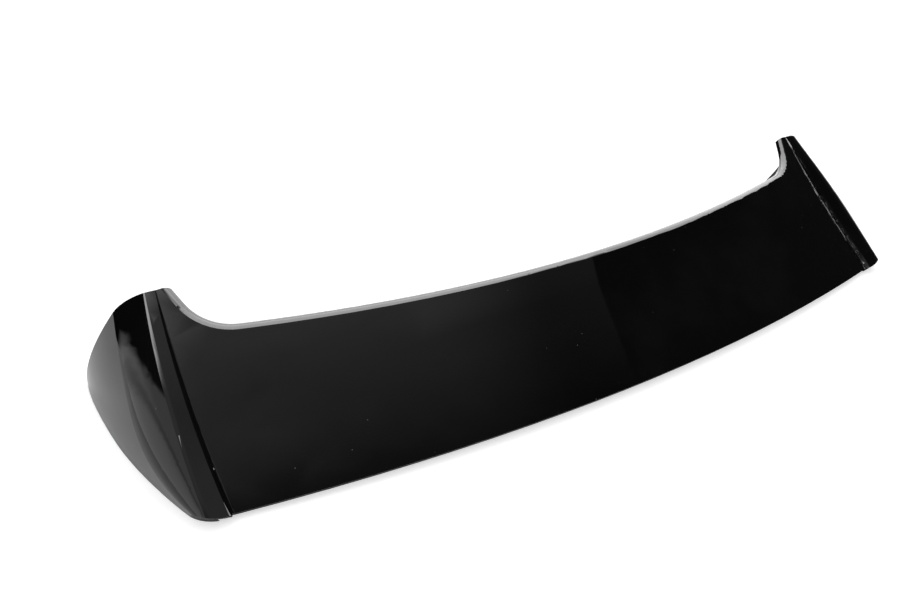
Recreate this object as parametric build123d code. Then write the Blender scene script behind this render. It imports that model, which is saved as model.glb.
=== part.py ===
"""Roof spoiler for a hatchback tailgate: one moulded shell, open underneath.

The shell is drawn lying flat: x across the car, y along the chord from the trailing edge to the
front, z out of the panel. It is then tipped to the slope at which it stands on its end-plate rims.
"""
import math
import os

from build123d import *

# Shell: wall, returns along the front bay and the tail, slope of the chord at rest, rim depth
WALL = 3.2
FRONT_FLANGE = 10.0
TAIL_FLANGE = 10.5
REST_SLOPE = 37.0
RIM_DROP = 15.4

# Panel: crowned across the span and scooped along the chord
CREST_HALF_SPAN = 500.0
PANEL_CROWN = 29.0
SCOOP_RADIUS = 1457.0
SCOOP_CHORD = 133.0

# Plan outline: bowed tail, front bay and the horns beside it
TRAILING_RADIUS = 3530.0
FRONT_CHORD = 183.0
FRONT_RADIUS = 2170.0
FRONT_ROUND = 9.0
HORN_WIDTH = 17.0
HORN_ANGLE = 69.0
HORN_FILLET = 64.0
TAIL_CORNER = 40.0
TAIL_TURN = 63.0

# Ribs that edge the panel and fade out towards the horn tips
RIB_LENGTH = 250.0
RIB_OVERHANG = 2.0
RIB_BOW = 5.5
RIB_HEIGHT = 5.0
RIB_RUN = 6.5
RIB_FADE = 115.0
FADE_EASE = 1.5
RIB_LEAST = 0.15
RUN_LEAST = 1.0
SLOPE_EASE = 0.55
STRIP_TAIL = 19.0
STRIP_TIP = 11.0
STRIP_RISE = 4.0
RIDGE_RADIUS = 10.0

# End plates that roll over from the ribs
SHOULDER_START = 8.0
SHOULDER_TAIL = 4.5
SHOULDER_RADIUS = 44.0
SHOULDER_GROWTH = 140.0
PLATE_LEAN = 28.0
LEAN_EASE = 1.7
PLATE_RADIUS = 420.0
FRONT_LEAN = 2.6
FRONT_HOLLOW = 5.0

# Places that follow from the sizes above
RIB_TAIL = TRAILING_RADIUS - math.sqrt(TRAILING_RADIUS**2 - CREST_HALF_SPAN**2)
RIB_TIP = RIB_TAIL + RIB_LENGTH
HORN_TIP_X = CREST_HALF_SPAN - HORN_WIDTH
TABLE_SLOPE = math.tan(math.radians(REST_SLOPE))
CUT_MARGIN = 60.0
PLATE_FOOT = RIB_TIP * TABLE_SLOPE + RIM_DROP + CUT_MARGIN
REACH = 1.5 * CREST_HALF_SPAN
NEAR = 1.0

# Lofted sections, as shares of the rib's length
STATION_SHARES = (-0.2, 0.0, 0.11, 0.24, 0.42, 0.62, 0.8, 0.93, 1.03)
STATIONS = [RIB_TAIL + share * RIB_LENGTH for share in STATION_SHARES]


def along_rib(chord):
    """Share of the rib's length at a chord position, 0 at the tail and 1 at the tip."""
    return (chord - RIB_TAIL) / RIB_LENGTH


def rib_share(chord):
    """Share of the full rib height, which fades out towards the tip."""
    fade = min(max((chord - RIB_TAIL - RIB_FADE) / (RIB_LENGTH - RIB_FADE), 0.0), 1.0)
    return 1.0 - fade**FADE_EASE


def panel_height(chord, x):
    """Height of the scooped and crowned panel."""
    scoop = ((chord - SCOOP_CHORD) ** 2 - SCOOP_CHORD**2) / (2.0 * SCOOP_RADIUS)
    return scoop - PANEL_CROWN * (x / CREST_HALF_SPAN) ** 2


def shoulder_radius(chord):
    """Radius over which the rib top rolls into the end plate, small at the tail."""
    growth = min(max((chord - RIB_TAIL) / SHOULDER_GROWTH, 0.0), 1.0)
    return SHOULDER_RADIUS - (SHOULDER_RADIUS - SHOULDER_TAIL) * (1.0 - growth) ** 2


def plate_angle(chord):
    """Downward angle, in radians, at which the shoulder hands over to the end plate."""
    share = min(max(along_rib(chord), 0.0), 1.0)
    return math.radians(90.0 - PLATE_LEAN * (1.0 - (1.0 - share) ** LEAN_EASE))


def arc_point(start, radius, angle_from, angle_to):
    """Point on a falling arc that leaves start at one downward angle and has reached another."""
    x = start[0] + radius * (math.sin(angle_to) - math.sin(angle_from))
    z = start[1] - radius * (math.cos(angle_from) - math.cos(angle_to))
    return (x, z)


def inward(point, angle, inset):
    """Moves a point of the skin inwards, square to a surface that falls at an angle."""
    return (point[0] - inset * math.sin(angle), point[1] - inset * math.cos(angle))


def half_section(chord, inset):
    """Right half of a section, from the plate's foot up to the panel, as points of its edges."""
    share = rib_share(chord)
    crest_x = CREST_HALF_SPAN + 4.0 * RIB_BOW * along_rib(chord) * (1.0 - along_rib(chord))
    run = RUN_LEAST + (RIB_RUN - RUN_LEAST) * share
    strip_width = STRIP_TAIL + (STRIP_TIP - STRIP_TAIL) * along_rib(chord)
    rise = math.atan2(STRIP_RISE * share, strip_width)
    crest_z = panel_height(chord, crest_x) + RIB_HEIGHT * share + RIB_LEAST
    crest = (crest_x, crest_z - inset)
    foot = (crest_x - run, panel_height(chord, crest_x - run) - inset)

    # The ridge rounds the corner between the rising strip and the falling shoulder.
    start = math.radians(SHOULDER_START)
    trim = RIDGE_RADIUS * math.tan((rise + start) / 2.0)
    corner = (crest_x + strip_width, crest_z + STRIP_RISE * share)
    ridge_in = (corner[0] - trim * math.cos(rise), corner[1] - trim * math.sin(rise))
    ridge_mid = arc_point(ridge_in, RIDGE_RADIUS, -rise, (start - rise) / 2.0)
    ridge_out = arc_point(ridge_in, RIDGE_RADIUS, -rise, start)

    # The shoulder rolls over into the plate, which carries on down on a larger radius.
    radius = shoulder_radius(chord)
    fall = plate_angle(chord)
    roll_mid = arc_point(ridge_out, radius, start, (start + fall) / 2.0)
    roll_end = arc_point(ridge_out, radius, start, fall)
    last = math.acos(math.cos(fall) - (roll_end[1] + PLATE_FOOT) / PLATE_RADIUS)
    plate_mid = arc_point(roll_end, PLATE_RADIUS, fall, (fall + last) / 2.0)
    plate_end = arc_point(roll_end, PLATE_RADIUS, fall, last)

    return {
        "plate": [
            inward(plate_end, last, inset),
            inward(plate_mid, (fall + last) / 2.0, inset),
            inward(roll_end, fall, inset),
        ],
        "shoulder": [
            inward(roll_end, fall, inset),
            inward(roll_mid, (start + fall) / 2.0, inset),
            inward(ridge_out, start, inset),
        ],
        "ridge": [
            inward(ridge_out, start, inset),
            inward(ridge_mid, (start - rise) / 2.0, inset),
            inward(ridge_in, -rise, inset),
        ],
        "strip": [inward(ridge_in, -rise, inset), crest],
        "slope": [crest, foot],
        "rise": rise,
    }


def slope_edge(chord, side, crest, foot, rise):
    """S-shaped rib flank that leaves the strip and meets the panel without a kink."""
    ease = SLOPE_EASE * (crest[0] - foot[0])
    dip = math.atan2(2.0 * PANEL_CROWN * foot[0], CREST_HALF_SPAN**2)
    upper = (crest[0] - ease * math.cos(rise), crest[1] - ease * math.sin(rise))
    lower = (foot[0] + ease * math.cos(dip), foot[1] - ease * math.sin(dip))
    controls = [(side * x, chord, z) for x, z in (crest, upper, lower, foot)]
    return Edge.make_bezier(*controls)


def section(chord, inset):
    """Closed section of the tent-shaped body, set in from the skin by an inset."""
    half = half_section(chord, inset)
    halves = []
    for side in (1.0, -1.0):
        edges = []
        for name in ("plate", "shoulder", "ridge"):
            points = [(side * x, chord, z) for x, z in half[name]]
            edges.append(Edge.make_three_point_arc(*points))
        strip = [(side * x, chord, z) for x, z in half["strip"]]
        edges.append(Edge.make_line(*strip))
        edges.append(slope_edge(chord, side, *half["slope"], half["rise"]))
        halves.append(edges)
    top = (0.0, chord, panel_height(chord, 0.0) - inset)
    foot_x, foot_z = half["slope"][1]
    crown = Edge.make_three_point_arc((foot_x, chord, foot_z), top, (-foot_x, chord, foot_z))
    end_x, end_z = half["plate"][0]
    base = Edge.make_line((-end_x, chord, end_z), (end_x, chord, end_z))
    return Face(Wire([*halves[0], crown, *halves[1][::-1], base]))


def opening_section(chord):
    """Section of the clear space inside the flanges that edge the shell."""
    reach = min(max(chord / FRONT_CHORD, 0.0), 1.0)
    flange = TAIL_FLANGE + (FRONT_FLANGE - TAIL_FLANGE) * reach
    half = half_section(chord, 0.0)
    corner_x = half["slope"][1][0]
    corner = (corner_x, panel_height(chord, corner_x) - flange)
    fall = plate_angle(chord)
    shoulder = inward(half["shoulder"][0], fall, flange)
    foot = inward(half["plate"][0], fall, flange)
    right = [(x, chord, z) for x, z in (foot, shoulder, corner)]
    left = [(-x, y, z) for x, y, z in right[::-1]]
    top = (0.0, chord, panel_height(chord, 0.0) - flange)
    edges = [Edge.make_line(right[0], right[1]), Edge.make_line(right[1], right[2])]
    edges.append(Edge.make_three_point_arc(right[2], top, left[0]))
    edges += [Edge.make_line(left[0], left[1]), Edge.make_line(left[1], left[2])]
    edges.append(Edge.make_line(left[2], right[0]))
    return Face(Wire(edges))


def trailing_chord(x):
    """Chord position of the bowed trailing edge."""
    return TRAILING_RADIUS - math.sqrt(TRAILING_RADIUS**2 - x**2)


def mirrored(point):
    """The same point of the plan on the left side."""
    return (-point[0], point[1])


def turned(start, radius, angle):
    """Point of the plan reached from start by an arc that sets off along x and turns forwards."""
    return (start[0] + radius * math.sin(angle), start[1] + radius * (1.0 - math.cos(angle)))


def bay_corner(offset):
    """Where the bay's wide arc meets the straight inner wall of the right horn."""
    horn = math.radians(HORN_ANGLE)
    along = (math.cos(horn), math.sin(horn))
    wall = (HORN_TIP_X + offset * along[1], RIB_TIP - offset * along[0])
    radius = FRONT_RADIUS + offset
    to_wall = (wall[0], wall[1] - FRONT_CHORD - FRONT_RADIUS)
    reach = to_wall[0] * along[0] + to_wall[1] * along[1]
    spare = to_wall[0] ** 2 + to_wall[1] ** 2 - radius**2
    step = -reach - math.sqrt(reach**2 - spare)
    return (wall[0] + step * along[0], wall[1] + step * along[1])


def plan(offset):
    """Prism of the plan outline, set in by an offset: bowed tail, front bay and two horns."""
    step_x = CREST_HALF_SPAN - RIB_RUN / 2.0 - offset
    tail_end = (step_x, trailing_chord(step_x + offset) + offset)
    rib_line = RIB_OVERHANG - offset
    rib_in = (step_x, trailing_chord(step_x + offset) - rib_line)
    rib_out = (CREST_HALF_SPAN, RIB_TAIL - rib_line)
    turn = math.radians(TAIL_TURN)
    round_mid = turned(rib_out, TAIL_CORNER - offset, turn / 2.0)
    round_end = turned(rib_out, TAIL_CORNER - offset, turn)
    outer = (REACH, round_end[1] + (REACH - round_end[0]) * math.tan(turn))

    # The bay is a wide arc that turns up the horn's inner wall on a fillet.
    meet = bay_corner(offset)
    bay_mid = (0.0, FRONT_CHORD - offset)
    bay_top = (meet[0] + (REACH - meet[1]) / math.tan(math.radians(HORN_ANGLE)), REACH)

    lines = [ThreePointArc(mirrored(tail_end), (0.0, offset), tail_end)]
    for flip in (tuple, mirrored):
        lines.append(Line(flip(tail_end), flip(rib_in)))
        lines.append(Line(flip(rib_in), flip(rib_out)))
        lines.append(ThreePointArc(flip(rib_out), flip(round_mid), flip(round_end)))
        rest = (round_end, outer, (REACH, REACH), bay_top, meet)
        lines.append(Polyline(*[flip(point) for point in rest]))
    lines.append(ThreePointArc(meet, bay_mid, mirrored(meet)))
    outline = make_face(lines)
    corners = [v for v in outline.vertices() if math.dist((abs(v.X), v.Y), meet) < NEAR]
    outline = fillet(corners, HORN_FILLET + offset)
    return extrude(Pos(0.0, 0.0, -REACH) * outline, 2.0 * REACH)


def front_cut():
    """Block ahead of the end plates' front edges and the horn tips, drawn in side view."""
    tip = (RIB_TIP, panel_height(RIB_TIP, HORN_TIP_X))
    drop = RIB_TIP * TABLE_SLOPE + RIM_DROP + tip[1]
    foot = (tip[0] - drop * math.tan(math.radians(FRONT_LEAN)), tip[1] - drop)
    middle = ((tip[0] + foot[0]) / 2.0 - FRONT_HOLLOW, (tip[1] + foot[1]) / 2.0)
    edge = ThreePointArc(tip, middle, foot)
    below = (foot[0], -REACH)
    ahead = Polyline(foot, below, (REACH, -REACH), (REACH, REACH), (tip[0], REACH), tip)
    return extrude(Plane.YZ * make_face([edge, ahead]), REACH, both=True)


def bay_edges(tent, inset):
    """Edges along the top of the front bay, where the panel turns down."""
    found = []
    for edge in tent.edges():
        middle = edge @ 0.5
        level = panel_height(middle.Y, middle.X) - inset
        on_panel = abs(middle.Z - level) < NEAR and abs(middle.X) < CREST_HALF_SPAN - RIB_RUN
        if on_panel and FRONT_CHORD - inset - NEAR < middle.Y < STATIONS[-1] - NEAR:
            found.append(edge)
    return found


def body(inset):
    """Solid tent within the skin, set in on every side by an inset, with its bay edge rounded."""
    tent = loft([section(chord, inset) for chord in STATIONS])
    tent = tent & plan(inset)
    return fillet(bay_edges(tent, inset), FRONT_ROUND - inset)


def spoiler_shell():
    """Moulded shell with edge flanges, tipped onto its rims."""
    opening = loft([opening_section(chord) for chord in STATIONS])
    shell = body(0.0) - body(WALL) - opening - front_cut()
    shell = Rot(REST_SLOPE, 0.0, 0.0) * shell
    table = -RIM_DROP * math.cos(math.radians(REST_SLOPE))
    shell = shell - Pos(0.0, 0.0, table - REACH) * Box(2.0 * REACH, 4.0 * REACH, 2.0 * REACH)
    box = shell.bounding_box()
    return Pos(0.0, -box.center().Y, -box.min.Z) * shell


os.makedirs("parts", exist_ok=True)
export_step(spoiler_shell(), "parts/spoiler_shell.step")
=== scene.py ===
# Gloss black roof spoiler on a white floor under soft studio light
import bpy
import math
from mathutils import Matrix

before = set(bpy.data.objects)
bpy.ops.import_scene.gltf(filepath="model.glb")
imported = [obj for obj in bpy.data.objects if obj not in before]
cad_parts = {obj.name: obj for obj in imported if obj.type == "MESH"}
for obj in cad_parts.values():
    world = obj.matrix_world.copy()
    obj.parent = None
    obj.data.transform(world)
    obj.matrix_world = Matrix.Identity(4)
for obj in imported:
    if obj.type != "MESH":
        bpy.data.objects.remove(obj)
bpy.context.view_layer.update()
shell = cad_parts["spoiler_shell"]

WHITE = (1.0, 1.0, 1.0, 1.0)

# Paint: black colours, gloss, and a duller finish where the skin faces down
PAINT_DARK = (0.0020, 0.0020, 0.0022, 1.0)
PAINT_LIGHT = (0.0036, 0.0036, 0.0039, 1.0)
PAINT_IOR = 1.5
GLOSS_CLEAN = 0.02
GLOSS_SMUDGED = 0.05
GLOSS_START = 0.40
GLOSS_END = 0.75
DULL_INSIDE = 0.42
INSIDE_START = -0.15
INSIDE_END = -0.45

# Paint: smudges, orange peel and dust specks
SMUDGE_SCALE = 5.0
SMUDGE_DETAIL = 4.0
SMUDGE_ROUGHNESS = 0.6
SMUDGE_START = 0.50
SMUDGE_END = 0.72
PEEL_SCALE = 420.0
PEEL_DETAIL = 1.0
PEEL_DEPTH = 0.000006
PEEL_STRENGTH = 0.5
DUST_COLOUR = (0.11, 0.11, 0.11, 1.0)
DUST_SCALE = 150.0
DUST_SIZE = 0.085
DUST_SHARE = 0.03

# Floor, dark surroundings and the wide lamp, in metres and degrees
FLOOR_HALF = 14.0
FLOOR_COLOUR = (0.86, 0.86, 0.86, 1.0)
FLOOR_LIFT = 0.50
SURROUNDINGS = (0.022, 0.022, 0.023, 1.0)
LAMP_SPREAD = 130.0
LAMP_POWER = 2.7

# Overhead softbox: a bright front part with a slanting rear edge and a dim glow behind it
CEILING_HEIGHT = 2.5
CEILING_LEFT = -1.15
CEILING_RIGHT = 1.92
CEILING_BACK = -1.26
CEILING_FRONT = 3.2
GLOW_START = -1.18
GLOW_END = -0.95
GLOW_LEAST = 0.08
GLOW_MOST = 0.50
FADE_START = 0.5
FADE_END = 1.5
FADE_LEAST = 0.27
BRIGHT_SLANT = -0.32
BRIGHT_START = -0.74
BRIGHT_END = -0.36
BRIGHT_LEVEL = 7.0

# Softbox overhead at the right, and an upright one in front
RIGHT_NEAR_BACK = -0.25
RIGHT_FAR_BACK = 1.2
RIGHT_END = 6.0
RIGHT_LEVEL = 5.0
FRONT_LEFT = -0.6
FRONT_RIGHT = 7.0
FRONT_LEVEL = 3.2

# Two softboxes high up behind the part
REAR_HEIGHT = 6.0
REAR_MIDDLES = (1.9, 6.5)
REAR_HALF = 1.2
REAR_FRONT = -2.72
REAR_FULL = -2.86
REAR_BACK = -4.2
REAR_LEVEL = 10.0

# Upright white card at the left, with a slanting upper edge and one darker streak
SIDE_DISTANCE = -1.25
SIDE_BACK = -1.5
SIDE_FRONT = 0.8
SIDE_TOP = 2.1
SIDE_EDGE_FRONT = 1.21
SIDE_EDGE_BACK = 2.0
SIDE_EDGE_START = 0.70
SIDE_EDGE_END = 0.84
SIDE_LOW = 0.35
SIDE_HIGH = 1.1
SIDE_LOW_LEVEL = 1.45
SIDE_HIGH_LEVEL = 0.85
STREAK_PLACE = 0.55
STREAK_WIDTH = 0.13
STREAK_LEAST = 0.6
CARD_FOOT = 0.02

# Camera, as the photograph was taken
IMAGE_WIDTH = 920
FOCAL_PIXELS = 720
SENSOR_WIDTH = 36
CAMERA_PLACE = (-0.5519, -0.6674, 0.5494)
CAMERA_DOWN = 31.65
CAMERA_TURN = 30.21


class Shader:
    """Adds nodes to one material or world and joins them."""

    def __init__(self, holder):
        holder.use_nodes = True
        self.tree = holder.node_tree
        self.tree.nodes.clear()

    def add(self, kind, **settings):
        """A new node with the given settings."""
        node = self.tree.nodes.new(kind)
        for name, value in settings.items():
            setattr(node, name, value)
        return node

    def feed(self, socket, value):
        """Links another node's output to the socket, or sets a plain value on it."""
        if hasattr(value, "is_output"):
            self.tree.links.new(value, socket)
        else:
            socket.default_value = value

    def put(self, node, **values):
        """Feeds a node's sockets by their names, with underscores for spaces."""
        for name, value in values.items():
            self.feed(node.inputs[name.replace("_", " ")], value)

    def join(self, kind, *values, **settings):
        """A new node whose sockets are fed in their order; gives its first output."""
        node = self.add(kind, **settings)
        for socket, value in zip(node.inputs, values):
            self.feed(socket, value)
        return node.outputs[0]

    def calc(self, operation, *values):
        """The result of an operation on one or two numbers."""
        return self.join("ShaderNodeMath", *values, operation=operation)

    def span(self, value, start, end, low, high):
        """Eases from low to high while the value runs from start to end."""
        node = self.add("ShaderNodeMapRange", interpolation_type="SMOOTHSTEP")
        self.put(node, Value=value, From_Min=start, From_Max=end, To_Min=low, To_Max=high)
        return node.outputs["Result"]

    def blend(self, share, first, second):
        """A mix of two colours."""
        node = self.add("ShaderNodeMix", data_type="RGBA")
        sockets = {socket.identifier: socket for socket in node.inputs}
        self.feed(sockets["Factor_Float"], share)
        self.feed(sockets["A_Color"], first)
        self.feed(sockets["B_Color"], second)
        return next(socket for socket in node.outputs if socket.identifier == "Result_Color")

    def axes(self):
        """The X, Y and Z of a point on a card, in metres."""
        place = self.add("ShaderNodeTexCoord")
        split = self.add("ShaderNodeSeparateXYZ")
        self.put(split, Vector=place.outputs["Object"])
        return split.outputs

    def end(self, surface, kind="ShaderNodeOutputMaterial"):
        """Makes this the surface that is rendered."""
        self.put(self.add(kind), Surface=surface)

    def shine(self, level):
        """Makes the surface give white light of this level."""
        light = self.add("ShaderNodeEmission")
        self.put(light, Color=WHITE, Strength=level)
        self.end(light.outputs["Emission"])


def gloss_black():
    """Black paint with a faint orange peel, smudges and a little dust; dull where it faces down inside."""
    material = bpy.data.materials.new("gloss_black")
    shader = Shader(material)
    place = shader.add("ShaderNodeTexCoord")
    point = place.outputs["Object"]

    smudge = shader.add("ShaderNodeTexNoise")
    shader.put(smudge, Vector=point, Scale=SMUDGE_SCALE, Detail=SMUDGE_DETAIL, Roughness=SMUDGE_ROUGHNESS)
    smudged = shader.span(smudge.outputs["Fac"], SMUDGE_START, SMUDGE_END, 0.0, 1.0)
    paint = shader.blend(smudged, PAINT_DARK, PAINT_LIGHT)

    cells = shader.add("ShaderNodeTexVoronoi")
    shader.put(cells, Vector=point, Scale=DUST_SCALE)
    speck = shader.calc("LESS_THAN", cells.outputs["Distance"], DUST_SIZE)
    pick = shader.add("ShaderNodeSeparateColor")
    shader.put(pick, Color=cells.outputs["Color"])
    chosen = shader.calc("LESS_THAN", pick.outputs["Red"], DUST_SHARE)
    dust = shader.calc("MULTIPLY", speck, chosen)
    colour = shader.blend(dust, paint, DUST_COLOUR)

    facing = shader.add("ShaderNodeSeparateXYZ")
    shader.put(facing, Vector=place.outputs["Normal"])
    inside = shader.span(facing.outputs["Z"], INSIDE_START, INSIDE_END, 0.0, DULL_INSIDE)
    gloss = shader.span(smudge.outputs["Fac"], GLOSS_START, GLOSS_END, GLOSS_CLEAN, GLOSS_SMUDGED)
    roughness = shader.calc("ADD", gloss, inside)

    peel = shader.add("ShaderNodeTexNoise")
    shader.put(peel, Vector=point, Scale=PEEL_SCALE, Detail=PEEL_DETAIL)
    bump = shader.add("ShaderNodeBump")
    shader.put(bump, Height=peel.outputs["Fac"], Distance=PEEL_DEPTH, Strength=PEEL_STRENGTH)

    surface = shader.add("ShaderNodeBsdfPrincipled")
    shader.put(surface, Base_Color=colour, Roughness=roughness, IOR=PAINT_IOR)
    shader.put(surface, Normal=bump.outputs["Normal"])
    shader.end(surface.outputs["BSDF"])
    return material


def floor_material():
    """White floor that keeps the shadow and meets the white background; clear from below."""
    material = bpy.data.materials.new("floor_white")
    shader = Shader(material)
    matte = shader.add("ShaderNodeBsdfDiffuse")
    shader.put(matte, Color=FLOOR_COLOUR)
    path = shader.add("ShaderNodeLightPath")
    lift = shader.add("ShaderNodeEmission")
    seen = shader.calc("MULTIPLY", path.outputs["Is Camera Ray"], FLOOR_LIFT)
    shader.put(lift, Color=WHITE, Strength=seen)
    lit = shader.join("ShaderNodeAddShader", matte.outputs["BSDF"], lift.outputs["Emission"])
    side = shader.add("ShaderNodeNewGeometry")
    clear = shader.add("ShaderNodeBsdfTransparent")
    from_below = side.outputs["Backfacing"]
    shader.end(shader.join("ShaderNodeMixShader", from_below, lit, clear.outputs["BSDF"]))
    return material


def glowing(name, level):
    """Even white light."""
    material = bpy.data.materials.new(name)
    Shader(material).shine(level)
    return material


def ceiling_material():
    """The overhead softbox: bright towards the front, with a dim glow behind its rear edge."""
    material = bpy.data.materials.new("ceiling_softbox")
    shader = Shader(material)
    axis = shader.axes()
    glow = shader.span(axis["Y"], GLOW_START, GLOW_END, GLOW_LEAST, GLOW_MOST)
    fade = shader.span(axis["X"], FADE_START, FADE_END, 1.0, FADE_LEAST)
    slanted = shader.calc("MULTIPLY", axis["X"], BRIGHT_SLANT)
    forward = shader.calc("ADD", axis["Y"], slanted)
    bright = shader.span(forward, BRIGHT_START, BRIGHT_END, 0.0, BRIGHT_LEVEL)
    shader.shine(shader.calc("ADD", shader.calc("MULTIPLY", glow, fade), bright))
    return material


def side_material():
    """The white card at the left: dimmer higher up, with one soft darker streak."""
    material = bpy.data.materials.new("side_card")
    shader = Shader(material)
    axis = shader.axes()
    height = shader.span(axis["Z"], SIDE_LOW, SIDE_HIGH, SIDE_LOW_LEVEL, SIDE_HIGH_LEVEL)
    across = shader.calc("ADD", axis["Y"], axis["Z"])
    away = shader.calc("ABSOLUTE", shader.calc("SUBTRACT", across, STREAK_PLACE))
    streak = shader.span(away, 0.0, STREAK_WIDTH, STREAK_LEAST, 1.0)
    ahead = shader.calc("MULTIPLY", axis["Y"], SIDE_EDGE_FRONT)
    behind = shader.calc("MULTIPLY", axis["Y"], SIDE_EDGE_BACK)
    slanted = shader.calc("ADD", axis["Z"], shader.calc("MINIMUM", ahead, behind))
    edge = shader.span(slanted, SIDE_EDGE_START, SIDE_EDGE_END, 1.0, 0.0)
    shader.shine(shader.calc("MULTIPLY", shader.calc("MULTIPLY", height, streak), edge))
    return material


def rear_material(middle):
    """A softbox high up behind the part, which fades out towards its sides and its front edge."""
    material = bpy.data.materials.new("rear_softbox")
    shader = Shader(material)
    axis = shader.axes()
    away = shader.calc("ABSOLUTE", shader.calc("SUBTRACT", axis["X"], middle))
    across = shader.span(away, 0.0, REAR_HALF, 1.0, 0.0)
    back = shader.span(axis["Y"], REAR_FRONT, REAR_FULL, 0.0, REAR_LEVEL)
    shader.shine(shader.calc("MULTIPLY", across, back))
    return material


def surroundings():
    """White behind the object, dark studio around it."""
    world = bpy.data.worlds.new("studio")
    bpy.context.scene.world = world
    shader = Shader(world)
    path = shader.add("ShaderNodeLightPath")
    seen = shader.calc("MAXIMUM", path.outputs["Is Camera Ray"], path.outputs["Is Transmission Ray"])
    sky = shader.add("ShaderNodeBackground")
    shader.put(sky, Color=shader.blend(seen, SURROUNDINGS, WHITE), Strength=1.0)
    shader.end(sky.outputs["Background"], "ShaderNodeOutputWorld")


def plain_mesh(name, corners, material):
    """One flat piece of the studio."""
    mesh = bpy.data.meshes.new(name)
    mesh.from_pydata(corners, [], [tuple(range(len(corners)))])
    mesh.materials.append(material)
    piece = bpy.data.objects.new(name, mesh)
    bpy.context.scene.collection.objects.link(piece)
    return piece


def card(name, corners, material):
    """A softbox or white card for the paint to reflect; it stays out of the picture."""
    piece = plain_mesh(name, corners, material)
    piece.visible_camera = False
    piece.visible_diffuse = False
    piece.visible_shadow = False


def level_card(name, near, far, front, top, material):
    """A card that hangs level; near and far are its rear corners."""
    corners = [(*near, top), (near[0], front, top), (far[0], front, top), (*far, top)]
    card(name, corners, material)


def upright_card(name, start, end, top, material):
    """A card that stands upright along the line from start to end."""
    corners = [(*start, CARD_FOOT), (*start, top), (*end, top), (*end, CARD_FOOT)]
    card(name, corners, material)


def studio():
    """Floor, lamp, softboxes and cards."""
    half = FLOOR_HALF
    floor_corners = [(-half, -half, 0), (half, -half, 0), (half, half, 0), (-half, half, 0)]
    plain_mesh("floor", floor_corners, floor_material())

    lamp = bpy.data.lights.new("lamp", "SUN")
    lamp.angle = math.radians(LAMP_SPREAD)
    lamp.energy = LAMP_POWER
    holder = bpy.data.objects.new("lamp", lamp)
    holder.visible_glossy = False
    bpy.context.scene.collection.objects.link(holder)

    ceiling = ((CEILING_LEFT, CEILING_BACK), (CEILING_RIGHT, CEILING_BACK))
    level_card("ceiling", *ceiling, CEILING_FRONT, CEILING_HEIGHT, ceiling_material())
    right = ((CEILING_RIGHT, RIGHT_NEAR_BACK), (RIGHT_END, RIGHT_FAR_BACK))
    right_light = glowing("right_light", RIGHT_LEVEL)
    level_card("ceiling_right", *right, CEILING_FRONT, CEILING_HEIGHT, right_light)
    for number, middle in enumerate(REAR_MIDDLES, 1):
        rear = ((middle - REAR_HALF, REAR_BACK), (middle + REAR_HALF, REAR_BACK))
        level_card(f"rear_softbox_{number}", *rear, REAR_FRONT, REAR_HEIGHT, rear_material(middle))
    front = ((FRONT_LEFT, CEILING_FRONT), (FRONT_RIGHT, CEILING_FRONT))
    upright_card("front_softbox", *front, CEILING_HEIGHT, glowing("front_light", FRONT_LEVEL))
    side = ((SIDE_DISTANCE, SIDE_BACK), (SIDE_DISTANCE, SIDE_FRONT))
    upright_card("side_card", *side, SIDE_TOP, side_material())


def camera():
    """The photograph's own viewpoint."""
    lens = bpy.data.cameras.new("camera")
    lens.sensor_width = SENSOR_WIDTH
    lens.lens = FOCAL_PIXELS * SENSOR_WIDTH / IMAGE_WIDTH
    eye = bpy.data.objects.new("camera", lens)
    eye.location = CAMERA_PLACE
    eye.rotation_euler = (math.radians(90 - CAMERA_DOWN), 0, math.radians(-CAMERA_TURN))
    bpy.context.scene.collection.objects.link(eye)
    bpy.context.scene.camera = eye


bpy.context.scene.view_settings.view_transform = "Standard"
shell.data.materials.clear()
shell.data.materials.append(gloss_black())
surroundings()
studio()
camera()
